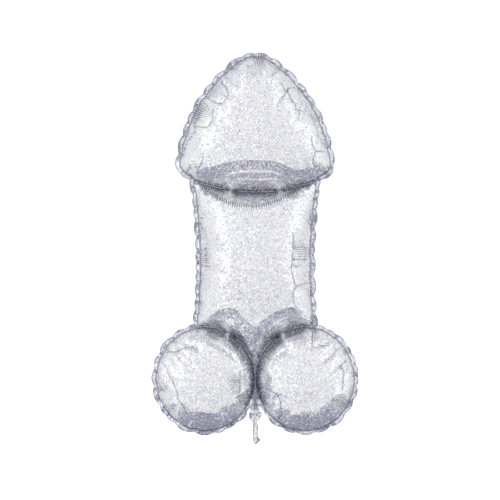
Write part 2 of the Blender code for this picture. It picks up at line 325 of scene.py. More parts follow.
# Lines where the foil breaks from a flatter to a steeper slope: how far the line stands out or in,
# how far to each side that reaches, and points across and up
ridges = {
    "right": {
        "overNeck": (0.0026, 0.016, (
            (0.0, 0.6284), (0.03, 0.6275), (0.06, 0.6215), (0.087, 0.6105), (0.0935, 0.599),
            (0.1085, 0.6065), (0.13, 0.6125), (0.145, 0.609), (0.164, 0.613))),
        "underNeck": (0.0026, 0.016, (
            (0.0, 0.517), (0.0228, 0.5213), (0.0534, 0.5304), (0.0932, 0.553), (0.125, 0.569))),
        "foot": (0.0026, 0.015, (
            (0.0, 0.2304), (0.0167, 0.2489), (0.0403, 0.2658), (0.0706, 0.2776), (0.0908, 0.2809),
            (0.1009, 0.2708), (0.1312, 0.2506), (0.1385, 0.241))),
        "underLobe": (0.0048, 0.024, (
            (0.044, 0.0155), (0.0706, 0.0243), (0.111, 0.0233), (0.1262, 0.0122), (0.1447, 0.0277),
            (0.1649, 0.0277), (0.1767, 0.0452), (0.1817, 0.0654), (0.2019, 0.0738), (0.229, 0.0725))),
        "stripOuter": (-0.0012, 0.009, ((0.0335, 0.1482), (0.074, 0.176), (0.1144, 0.1967))),
        "stripInner": (0.0018, 0.009, ((0.0504, 0.1395), (0.084, 0.166), (0.1177, 0.186))),
        "weldTop": (0.0022, 0.004, ((0.0, 0.5995), (0.04, 0.5985), (0.09, 0.586))),
        "weldFoot": (0.0024, 0.004, ((0.0, 0.581), (0.022, 0.581), (0.056, 0.583))),
        "overLobe": (0.0024, 0.004, (
            (0.0167, 0.2035), (0.0403, 0.2338), (0.0706, 0.2523), (0.111, 0.2574), (0.1278, 0.2473))),
    },
    "left": {
        "overNeck": (0.0026, 0.016, (
            (0.0, 0.6284), (0.04, 0.6275), (0.075, 0.6215), (0.1058, 0.6116), (0.121, 0.613),
            (0.1333, 0.607), (0.1394, 0.5978), (0.14, 0.585))),
        "underNeck": (0.0026, 0.016, (
            (0.0, 0.517), (0.0445, 0.5213), (0.0813, 0.5335), (0.115, 0.5549), (0.126, 0.564))),
        "foot": (0.0026, 0.015, (
            (0.0, 0.2304), (0.0304, 0.2557), (0.0405, 0.2725), (0.0591, 0.2792), (0.0843, 0.2742),
            (0.1113, 0.2557), (0.1348, 0.2371))),
        "underLobe": (0.0048, 0.024, (
            (0.214, 0.041), (0.1854, 0.0519), (0.1668, 0.03), (0.1247, 0.0311), (0.0944, 0.0267),
            (0.0709, 0.0142), (0.0591, 0.0418), (0.0473, 0.0654), (0.01, 0.086))),
        "stripOuter": (-0.0014, 0.009, ((0.123, 0.2035), (0.087, 0.183), (0.0507, 0.1563))),
        "stripInner": (0.0024, 0.009, ((0.118, 0.1883), (0.09, 0.172), (0.0608, 0.1513))),
        "weldTop": (0.0022, 0.004, ((0.0, 0.5995), (0.03, 0.5985), (0.076, 0.593))),
        "weldFoot": (0.0024, 0.004, ((0.0, 0.581), (0.045, 0.583))),
        "overLobe": (0.0024, 0.004, (
            (0.1113, 0.2473), (0.0776, 0.2479), (0.0507, 0.2355), (0.0237, 0.2035), (0.0102, 0.1765))),
    },
}

# Painted shade in dark streaked bands on both sides of the weld over each lobe: half width, strength, points
# across and up
paintedWeldShade = (
    (0.015, 0.85, ((0.108, 0.215), (0.071, 0.203), (0.04, 0.182), (0.022, 0.16))),
    (0.012, 0.65, ((0.112, 0.238), (0.078, 0.235), (0.05, 0.22), (0.03, 0.198))),
)

# Patches of fine hatching, small pleats whose dark dashes are painted shade: across and up, half width and
# half height, strength; right is plus
hatching = (
    (-0.138, 0.748, 0.028, 0.048, 1.6), (-0.1, 0.795, 0.024, 0.028, 0.7),
    (0.009, 0.868, 0.022, 0.034, 1.8), (0.106, 0.415, 0.03, 0.04, 0.8),
    (-0.116, 0.398, 0.022, 0.038, 0.8), (-0.048, 0.1, 0.026, 0.042, 0.7),
    (0.208, 0.048, 0.028, 0.03, 1.0), (0.13, 0.74, 0.03, 0.05, 0.4),
    (0.032, 0.1, 0.016, 0.042, 0.7), (-0.215, 0.095, 0.02, 0.05, 0.5),
)

# Painted shade on the web in the hollow between the round lobes: half width, foot, top and how softly it
# begins;
# and how dark the painted shade is on the pinched passages over the lobes
paintedWebShade = {"half": 0.020, "foot": 0.030, "top": 0.160, "ease": 0.012, "passageShade": 0.75}


def alongPath(path, step):
    # the path with a point about every step
    made = [np.array(path[0], float)]
    for a, b in zip(path[:-1], path[1:]):
        made += arcPoints(a, b, 0, step)[1:]
    return made


def gapTo(line, points):
    # each point's distance to one of the given lines
    return nearestOn(alongPath(line, 1), points)[0]


def sharpLines(side, step):
    # the fold lines, the ridges, and a line on each side of a narrow ridge
    valleys = [alongPath(line, step) for line in folds[side]]
    crests = [alongPath(line, step) for _, _, line in ridges[side].values()]
    beside = [offsetPath(alongPath(line, step), reach * way)
              for _, reach, line in ridges[side].values() if reach < step for way in (-1, 1)]
    return valleys, crests, [[p for p in path if p[0] > 0] for path in beside]


def halfPlan(step, edgeStep, side):
    # one half of the sheet, flat: points, triangles, which points the gas can lift or lie on a sharp line
    seams = chamberSeams(step)
    edgePath = outerPath(edgeStep, outline["edge"])
    points, edges = [], []
    valleys, crests, beside = sharpLines(side, step)
    lines = valleys + crests + beside
    both = [line for each in folds for kind in sharpLines(each, step) for line in kind]
    for path in (*seams, edgePath, *lines):
        edges += [(len(points) + k, len(points) + k + 1) for k in range(len(path) - 1)]
        points += path
    middle = [p for p in outerPath(edgeStep, outline["edge"] / 2)[1:] if p[1] > outline["tailTop"]]
    top = outline["domeTop"] + outline["edge"]
    rows = np.arange(outline["tailEnd"] + step, top, step * math.sqrt(3) / 2)
    axis = [np.array((0, z)) for z in rows]
    grid = [np.array((x, z)) for row, z in enumerate(rows)
            for x in np.arange(step * (1 - row % 2 / 2), cadBox[1][0], step)]
    clearEdge, clearGrid = film["edgeRoom"] * edgeStep, film["room"] * step
    for spots, clear, near in ((middle, clearEdge, lines), (axis, clearGrid, both), (grid, clearGrid, lines)):
        spots = np.array(spots)
        room = np.min([nearestOn(path, spots)[0] for path in (*seams, edgePath, *near)], axis=0)
        keep = insideLoop(edgePath, spots + (film["axisNudge"], 0)) & (room > clear)
        if clear > edgeStep:
            keep &= np.min([np.linalg.norm(spots - p, axis=1) for p in middle], axis=0) > edgeStep
        points += list(spots[keep])
    onAxis = sorted((p[1], k) for k, p in enumerate(points) if p[0] == 0)
    edges += [(a, b) for (_, a), (_, b) in zip(onAxis, onAxis[1:])]
    made = delaunay_2d_cdt([Vector(p) for p in points], edges, [], 1, film["axisNudge"] / 2)
    flat = np.array([tuple(p) for p in made[0]])
    flat[np.abs(flat[:, 0]) < film["axisNudge"], 0] = 0
    onSeam = np.min([nearestOn(path, flat)[0] for path in seams], axis=0) < film["axisNudge"]
    within = np.any([insideLoop(path, flat + (film["axisNudge"], 0)) for path in seams], axis=0)
    x, dip = outline["neckPassageX"], outline["neckDip"]
    neckPassage = (x, outline["neckEnd"][1] - dip * (1 - (x / outline["neckEnd"][0]) ** 2))
    passages = (neckPassage, lobePassage())
    reach = np.min([np.linalg.norm(flat - p, axis=1) for p in passages], axis=0)
    lifted = (within & ~onSeam) | (reach < outline["passage"] / 2)
    onFold, onRidge = [np.min([nearestOn(line, flat)[0] for line in kind], axis=0) < film["axisNudge"]
                       for kind in (valleys, crests)]
    return flat, np.array(made[2]), lifted, onFold & lifted, onRidge & lifted


def halfValues(side):
    # one half's points, with each one's nearest seam for the gathers and creases
    flat, triangles, lifted, onFold, onRidge = halfPlan(film["step"], film["edgeStep"], side)
    seams = chamberSeams(film["step"])
    gaps, runs, _ = zip(*[nearestOn(path, flat) for path in seams])
    nearest = np.argmin(gaps, axis=0)
    gap = np.min(gaps, axis=0)
    run = np.choose(nearest, runs)
    inLobe = (nearest == 2) & insideLoop(seams[2], flat)
    toLobe = nearestOn(lobeArc(0, outline["lobeSmooth"], film["step"]), flat)[0]
    toLobe = toLobe / np.where(inLobe, film["lobeReach"], film["footReach"])
    underLobe = gapTo(ridges[side]["underLobe"][2], flat) / film["underReach"]
    weldGap = np.minimum(nearestOn(neckWeld(film["step"], 0), flat)[0] / film["neckReach"], toLobe)
    weldGap = np.minimum(weldGap, underLobe)
    stand = -film["foldDepth"] * onFold
    for rise, reach, line in ridges[side].values():
        near = np.clip(1 - gapTo(line, flat) / reach, 0, 1)
        stand += rise * near * (1 - easeOut(gap / film["standEase"]))
    band = gapTo(ridges[side]["underNeck"][2], flat) / film["hatchedHalf"]
    # painted shade beside the weld over each lobe
    streak = np.max([strength * easeOut(gapTo(line, flat) / width) for width, strength, line in paintedWeldShade],
                    axis=0) * lifted
    rim = outerPath(film["edgeStep"], film["rimNudge"])
    rimGap, rimRun, rimLeft = nearestOn(rim, flat)
    offTail = (flat[:, 1] > outline["tailTop"]) | (flat[:, 0] > outline["tailReach"])
    outside = ~insideLoop(rim, flat + (film["axisNudge"], 0)) & offTail
    out = np.where(outside & (rimGap < film["edgeBound"] * outline["edge"]), rimGap / outline["edge"], 0)
    onRim = (rimGap < 2 * film["rimNudge"]) & offTail
    return {"flat": flat, "faces": triangles, "lifted": lifted, "onFold": onFold, "onRidge": onRidge,
            "stand": stand * lifted, "band": easeOut(band) * lifted, "streak": streak, "gap": gap,
            "run": run, "weldGap": weldGap, "out": out, "onRim": onRim, "rimRun": rimRun, "rimLeft": rimLeft}


def wholePlan():
    # the right half joined to the mirrored left half along the axis
    right, left = halfValues("right"), halfValues("left")
    order = [sorted(np.where(half["flat"][:, 0] == 0)[0], key=lambda k: half["flat"][k, 1])
             for half in (right, left)]
    away = np.where(left["flat"][:, 0] > 0)[0]
    twin = np.zeros(len(left["flat"]), int)
    twin[away] = len(right["flat"]) + np.arange(len(away))
    twin[order[1]] = order[0]
    left["flat"], left["rimLeft"] = left["flat"] * (-1, 1), left["rimLeft"] * (-1, 1)
    left["run"], left["rimRun"] = -left["run"], -left["rimRun"]
    plan = {name: np.concatenate((right[name], left[name][away])) for name in right if name != "faces"}
    plan["faces"] = np.vstack((right["faces"], twin[left["faces"]][:, ::-1]))
    x, z = plan["flat"].T
    plan["hatch"] = np.max([strength * easeOut(np.hypot((x - cx) / wide, (z - cz) / tall))
                            for cx, cz, wide, tall, strength in hatching], axis=0)
    plan["hatch"] = np.maximum(plan["hatch"], film["hatchedStrength"] * plan["band"])
    # painted shade on the web between the lobes and on the pinched passages over them
    between = (np.abs(x) < paintedWebShade["half"]) & (z > paintedWebShade["foot"]) & (z < paintedWebShade["top"])
    between &= ~plan["lifted"] & (plan["out"] == 0)
    plan["web"] = between * easeOut((paintedWebShade["foot"] + paintedWebShade["ease"] - z) / paintedWebShade["ease"])
    passageX, passageZ = lobePassage()
    pinched = np.hypot(np.abs(x) - passageX, z - passageZ) / outline["passage"]
    plan["web"] = np.maximum(plan["web"], paintedWebShade["passageShade"] * easeOut(pinched))
    print("plan:", len(x), "points,", len(plan["faces"]), "triangles,", plan["onFold"].sum(), "on folds")
    return plan


def edgeGathers(plan):
    # the drawn-in edge bows out and swings to and fro between short gathers: moves outwards and along Y
    pick = random.Random(11)
    run, out = plan["rimRun"], plan["out"]
    bowOut, swing = np.zeros(len(out)), np.zeros(len(out))
    for side in (1, -1):
        breaks = [0.0]
        while breaks[-1] < np.abs(run).max():
            breaks.append(breaks[-1] + pick.uniform(film["scallopShort"], film["scallopLong"]))
        sizes = np.array([pick.uniform(*film["swingShares"]) * (-1) ** k for k in range(len(breaks))])
        mine = np.where(run * side >= 0)[0]
        here = np.abs(run[mine])
        k = np.clip(np.searchsorted(breaks, here, side="right") - 1, 0, len(breaks) - 2)
        low, high = np.array(breaks)[k], np.array(breaks)[k + 1]
        bow = np.sin(np.pi * (here - low) / (high - low)) ** film["bowShape"]
        size = (high - low) / film["scallopLong"]
        bowOut[mine] = film["scallopDepth"] * size * (bow - 0.5)
        swing[mine] = sizes[k] * bow
    onEdge = plan["onRim"] | (out > 0)
    out = np.where(plan["onRim"], 0, out)
    outwards = onEdge * (film["rimShare"] + (1 - film["rimShare"]) * out) * bowOut
    fromSeam = onEdge * (film["seamSwing"] + film["edgeSwing"] * out)
    return plan["rimLeft"] * outwards[:, None], fromSeam * swing


# The sheets are cut larger than the full balloon, because a flat edge draws in as the gas lifts the film.
# Each row: height on the full balloon, size across over size when full, the same for lengths
pattern = (
    (-0.060, 1.26, 1.26),
    (0.100, 1.30, 1.24),
    (0.165, 1.22, 1.28),
    (0.230, 1.18, 1.32),
    (0.290, 1.33, 1.16),
    (0.400, 1.37, 1.09),
    (0.480, 1.33, 1.17),
    (0.550, 1.16, 1.42),
    (0.600, 1.15, 1.36),
    (0.650, 1.26, 1.19),
    (0.750, 1.29, 1.13),
    (0.900, 1.22, 1.16),
)

inflation = {
    "patternSteps": 600,
    "frames": 44,
    "drawInFrames": 28,
    # the film and the gas, by the names that Blender's cloth has for them
    "cloth": {
        "quality": 7,
        "mass": 0.1,
        "tension_stiffness": 80,
        "compression_stiffness": 80,
        "shear_stiffness": 80,
        "bending_model": "ANGULAR",
        "bending_stiffness": 2.5,
        "air_damping": 2.0,
        "use_pressure": True,
        "uniform_pressure_force": 500,
        "vertex_group_pressure": "gas",
        "vertex_group_mass": "welds",
    },
    "startGap": 0.0015,
    "startNoise": 0.0015,
    "noiseSize": 0.018,
    "weldEase": 0.88,  # how much of the creases goes beside the welds inside the outline
    "formEase": 0.9,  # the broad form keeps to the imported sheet, with the creases left on it
    "formPasses": 15,
}


def flatPattern(flat):
    # where each point lies on the sheet as cut
    heights, across, lengths = np.array(pattern).T
    z = np.linspace(heights[0], heights[-1], inflation["patternSteps"])
    stretch = np.interp(z, heights, lengths)
    cut = np.concatenate(([0], np.cumsum((stretch[1:] + stretch[:-1]) / 2 * np.diff(z))))
    x, height = flat.T
    return np.column_stack((x * np.interp(height, heights, across), np.interp(height, z, cut)))


def easeOut(x):
    # 1 at nought and 0 from one on, smooth at both ends
    x = np.clip(x, 0, 1)
    return 1 - x * x * (3 - 2 * x)


def startNoise(flat, layer):
    # small unevenness of the film, another one in each layer
    size = inflation["noiseSize"]
    return np.array([noise.noise(Vector((x / size, z / size, layer))) for x, z in flat])


def twoPlyMesh(plan):
    # both sheets in one mesh, sharing the points that are welded
    count = len(plan["flat"])
    raised = np.where(plan["lifted"])[0]
    back = np.arange(count)
    back[raised] = count + np.arange(len(raised))
    full = plan["lifted"][plan["faces"]].any(axis=1)
    faces = plan["faces"].tolist() + back[plan["faces"][full]][:, ::-1].tolist()
    return back, raised, faces


def blowUp(plan, raised, faces):
    # inflates the flat bag while its welded edge is drawn in to the full outline
    count = len(plan["flat"])
    flat = flatPattern(plan["flat"])
    moved, swing = edgeGathers(plan)
    onWeld = ~plan["lifted"] & (plan["gap"] < outline["weld"]) & (plan["out"] == 0) & ~plan["onRim"]
    swing = swing + onWeld * film["weldSwing"] * startNoise(plan["flat"], 5.5)
    lift = [inflation["startGap"] + inflation["startNoise"] * startNoise(flat, k) for k in (3.1, 9.1)]
    start = np.zeros((count + len(raised), 3))
    start[:count, [0, 2]], start[count:, [0, 2]] = flat, flat[raised]
    start[:count, 1] = np.where(plan["lifted"], -lift[0], 0)
    start[count:, 1] = lift[1][raised]
    drawn = start.copy()
    drawn[:count, [0, 2]] = plan["flat"] + moved
    drawn[:count, 1] = np.where(plan["lifted"], 0, swing)
    drawn[count:, [0, 2]] = plan["flat"][raised]
    mesh = bpy.data.meshes.new("inflatingBag")
    mesh.from_pydata(start.tolist(), [], faces)
    bag = addObject("inflatingBag", mesh)
    bag.shape_key_add(name="cut")
    key = bag.shape_key_add(name="drawnIn")
    key.data.foreach_set("co", drawn.astype(np.float32).ravel())
    for frameNumber, value in ((1, 0), (1 + inflation["drawInFrames"], 1)):
        key.value = value
        key.keyframe_insert("value", frame=frameNumber)
    gas = bag.vertex_groups.new(name="gas")
    gas.add([int(k) for k in raised] + list(range(count, len(start))), 1, "REPLACE")
    welds = bag.vertex_groups.new(name="welds")
    welds.add([int(k) for k in np.where(~plan["lifted"])[0]], 1, "REPLACE")
    cloth = bag.modifiers.new("gas", "CLOTH")
    for setting, value in inflation["cloth"].items():
        setattr(cloth.settings, setting, value)
    cloth.settings.effector_weights.gravity = 0
    cloth.point_cache.frame_end = inflation["frames"]
    scene = bpy.context.scene
    for frameNumber in range(1, inflation["frames"] + 1):
        scene.frame_set(frameNumber)
    blown = bag.evaluated_get(bpy.context.evaluated_depsgraph_get()).data
    result = np.empty(len(start) * 3, np.float32)
    blown.vertices.foreach_get("co", result)
    bpy.data.objects.remove(bag)
    scene.frame_set(1)
    return result.reshape(-1, 3).astype(float)


# The broad form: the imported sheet's wall with half the gap inside it, and where the foot of the column
# stays full between the lobes and falls away over each of them (across, up, half width, half height, rise)
broadForm = {
    "wall": 0.00165,
    "foot": ((0.0, 0.218, 0.030, 0.030, 0.0090), (0.062, 0.250, 0.030, 0.020, -0.0060)),
    "footFull": 0.03,
}


def pressedShape(plan, raised):
    count = len(plan["flat"])
    moved, swing = edgeGathers(plan)
    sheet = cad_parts["front_sheet"].data
    tree = BVHTree.FromPolygons([v.co for v in sheet.vertices], [p.vertices for p in sheet.polygons])
    pressed = np.zeros((count + len(raised), 3))
    pressed[:count, [0, 2]], pressed[count:, [0, 2]] = plan["flat"] + moved, plan["flat"][raised]
    pressed[:count, 1] = swing
    for k, index in enumerate(raised):
        x, z = plan["flat"][index]
        hit = tree.ray_cast(Vector((x, -1, z)), Vector((0, 1, 0)))[0]
        height = 0 if hit is None else max(0, -hit.y - broadForm["wall"])
        for across, up, wide, tall, rise in broadForm["foot"]:
            near = math.exp(-((abs(x) - across) / wide) ** 2 - ((z - up) / tall) ** 2)
            height += rise * near * min(1, height / broadForm["footFull"])
        pressed[index, 1], pressed[count + k, 1] = -height, height
    return pressed


# The tail below the lobes: gathered at the tie and curled below it
tail = {
    "top": 0.046,
    "half": 0.0105,
    "cuts": 2,
    # height, left and right edge on the full balloon
    "edges": (
        (-0.0504, -0.0036, 0.0026), (-0.0470, -0.0040, 0.0062), (-0.0430, -0.0044, 0.0108),
        (-0.0400, -0.0047, 0.0132), (-0.0370, -0.0050, 0.0100), (-0.0330, -0.0053, 0.0072),
        (-0.0200, -0.0058, 0.0076), (-0.0090, -0.0062, 0.0072), (-0.0020, -0.0058, 0.0050),
        (0.0015, -0.0066, 0.0036), (0.0050, -0.0098, 0.0056), (0.0100, -0.0138, 0.0104),
        (0.0160, -0.0152, 0.0146), (0.0240, -0.0148, 0.0160), (0.0330, -0.0122, 0.0128),
        (0.0460, -0.0105, 0.0105),
    ),
    "curl": 0.0036,
    "curlEase": 0.008,
    "curlLimit": 1.6,
    "ripple": 0.0006,
    "rippleRate": 400,
    "pleats": 5,
    "pleatDepth": 0.0042,
    "pleatSpread": 0.8,
    "wander": 0.13,
    "wanderSize": 0.012,
    "crumple": 0.0011,
    "crumpleSize": 0.0060,
    "crumpleWide": 0.008,
    # the folded corner: where it begins across and down, how softly, its foot, and how far it tips
    "cornerFrom": 0.15,
    "cornerTop": -0.031,
    "cornerEase": 0.005,
    "cornerFoot": -0.0470,
    "cornerTurn": 0.75,
    "cornerShade": -0.033,
    "shadeSize": 0.005,
}


def tailAcross(u, z):
    # where a point of the tail lies across it, u = -1 at the left edge and 1 at the right
    rows = np.array(tail["edges"])
    left, right = np.interp(z, rows[:, 0], rows[:, 1]), np.interp(z, rows[:, 0], rows[:, 2])
    return (left + right) / 2 + u * (right - left) / 2


def tailDepth(u, z):
    # how far to the back a point of the tail stands: curled below the tie and pleated above it
    size = tail["crumpleSize"]
    rough = noise.noise(Vector((u * tail["crumpleWide"] / size, z / size, 4.2))) * tail["crumple"]
    if z < 0:
        curl = tail["curl"] * min(1, -z / tail["curlEase"]) * (1 - min(tail["curlLimit"], u * u))
        ripple = tail["ripple"] * u * math.sin(z * tail["rippleRate"])
        corner = max(0.0, u - tail["cornerFrom"]) / (1 - tail["cornerFrom"])
        corner *= max(0.0, min(1, (tail["cornerTop"] - z) / tail["cornerEase"]))
        return rough - curl + ripple - corner * tail["cornerTurn"] * (z - tail["cornerFoot"])
    opened = math.sin(math.pi * min(1, z / tail["top"])) ** 0.7
    wander = noise.noise(Vector((z / tail["wanderSize"], 1.7, u)))
    wave = (u * tail["pleatSpread"] + tail["wander"] * wander) * tail["pleats"]
    pleat = 2 * abs(wave / 2 - math.floor(wave / 2 + 0.5)) * 2 - 1
    return opened * (pleat * tail["pleatDepth"] * (0.55 + 0.45 * math.sin(u * 4 + 1)) + 1.6 * rough)


def tailShade(u, z):
    # painted shade along the outline, at the folded corner and in the crumples above the tie; the plain
    # numbers are shares of the half width
    if z < 0:
        corner = 1 - easeOut((u + 0.2) / 0.25) if z < tail["cornerShade"] else 0.0
        return max(1 - easeOut((abs(u) - (0.20 if u < 0 else 0.50)) / 0.35), corner)
    creases = noise.noise(Vector((u * 2.6, z / tail["shadeSize"], 8.3)))
    return max(1 - easeOut((abs(u) - 0.60) / 0.25), 1 - easeOut((creases + 0.10) / 0.15))


def crumpleTail(mesh):
    # gives the tail a finer mesh, its own outline, its crumples and the painted shade in them
    bm = bmesh.new()
    bm.from_mesh(mesh)
    shade = bm.verts.layers.float["fold"]
    own = {v for v in bm.verts if v.co.z < tail["top"] and abs(v.co.x) < tail["half"]}
    edges = [e for e in bm.edges if e.verts[0] in own and e.verts[1] in own]
    bmesh.ops.subdivide_edges(bm, edges=edges, cuts=tail["cuts"], use_grid_fill=True)
    bmesh.ops.triangulate(bm, faces=[f for f in bm.faces if len(f.verts) > 3])
    for v in bm.verts:
        if v.co.z < tail["top"] and abs(v.co.x) < tail["half"]:
            u = max(-1.0, min(1.0, v.co.x / outline["tailHalf"]))
            v.co.x = tailAcross(u, v.co.z)
            v.co.y += tailDepth(u, v.co.z)
            v[shade] = max(v[shade], float(tailShade(u, v.co.z)))
    bm.to_mesh(mesh)
    bm.free()


# What the foil's material reads from the mesh, and its name in the plan; the web, streak and crease values
# carry painted shade
pointValues = {"seamGap": "gap", "hatch": "hatch", "fold": "onFold", "web": "web", "streak": "streak",
               "seamRun": "run", "edgeOut": "out"}


def makeFoilPly(name, plan, shape, index, faces, side):
    # one sheet of foil with its share of the flat weld; side is -1 for the front and 1 for the back
    place = shape[index].copy()
    place[~plan["lifted"], 1] += side * film["plyGap"] / 2
    place[:, 1] += side * plan["stand"]
    mesh = bpy.data.meshes.new(name)
    mesh.from_pydata(place.tolist(), [], faces)
    ends = np.array([e.vertices[:] for e in mesh.edges])
    creased = plan["onFold"][ends].all(axis=1) | plan["onRidge"][ends].all(axis=1)
    mesh.attributes.new("crease_edge", "FLOAT", "EDGE").data.foreach_set("value", creased.astype(np.float32))
    mesh.attributes.new("sharp_edge", "BOOLEAN", "EDGE").data.foreach_set("value", creased)
    for title, source in pointValues.items():
        values = np.asarray(plan[source], np.float32)
        mesh.attributes.new(title, "FLOAT", "POINT").data.foreach_set("value", values)
    crumpleTail(mesh)
    mesh.shade_smooth()
    ply = addObject(name, mesh)
    smooth = ply.modifiers.new("smooth", "SUBSURF")
    smooth.levels = smooth.render_levels = 1
    done = bpy.data.meshes.new_from_object(ply.evaluated_get(bpy.context.evaluated_depsgraph_get()))
    ply.modifiers.clear()
    ply.data = done
    done.name = name
    print(name, len(done.vertices), "points")
    return ply


# Metallised polyester with a holographic lacquer. Vacuum-coated aluminium under a pressed lacquer:
# a soft lavender silver mirror, broken into fine pastel sparkle.
foilFinish = {
    "silver": "#F9FAFF",
    # the flat welded edge is duller in its own right; its darker patches are painted shade of its crinkled
    # petals
    "edgeTone": "#D6D8E6",  # the flat welded edge is duller than the mirror, with darker patches
    "paintedEdgePatchShade": "#70728C",
    "patchScale": 85,
    # the seal's own dark tone, also used for all the painted shade
    "sealAndShadeTone": "#6E6E84",  # and darkest where the seal bites and at the cut
    # marks on the film: where each begins, where it is full and how strong it is there;
    # the patches, crease lines and streaks are painted shade
    "edgeMark": (0.02, 0.20, 0.80),
    "patchMark": (0.46, 0.58, 1),
    "cutMark": (0.62, 0.86, 0.55),
    # painted shade along the fold lines and in the tail's crumples
    "creaseShadeMark": (0.66, 0.95, 0.65),
    "streakMark": (0.36, 0.56, 1),
    "webShade": 0.95,
    "hatchShade": 0.85,
    # the dashes are painted shade on the fine pleats
    "dashes": (1.1, 0.4),  # their contrast and how far they fill the band
    "sealWidth": 0.0024,
    "sealCore": 0.35,
    "sealShade": 0.78,
    "smoothCell": 0.11,  # roughness of the cells that mirror
    "roughCell": 0.85,  # and of those whose grating throws the light about
    "roughFrom": 0.45,
    "sparkleSize": 0.0029,  # real grating cells are about 0.4 mm, drawn coarser so that they show
    "sparkleTilt": 0.06,
    "glintTilt": 0.95,  # some cells lie tipped upwards and flash in the dark parts
    "glintShare": 0.34,
    "glintStep": 0.01,
    "glintRise": 0.4,
    "lacquerTilt": 1.1,
    "lacquerIor": 2.0,  # lacquer with a high-index layer behind the grating
    "lacquerRoughness": 0.12,
    "pastel": 0.08,
    "valueSpread": 0.35,
    "weldShadePitch": 0.0075,
    "streakStretch": 0.09,
    "pleatPitch": 0.0052,
    "pleatHeight": 0.0007,
    "wobbleScale": 30,
    "wobble": 9,
}


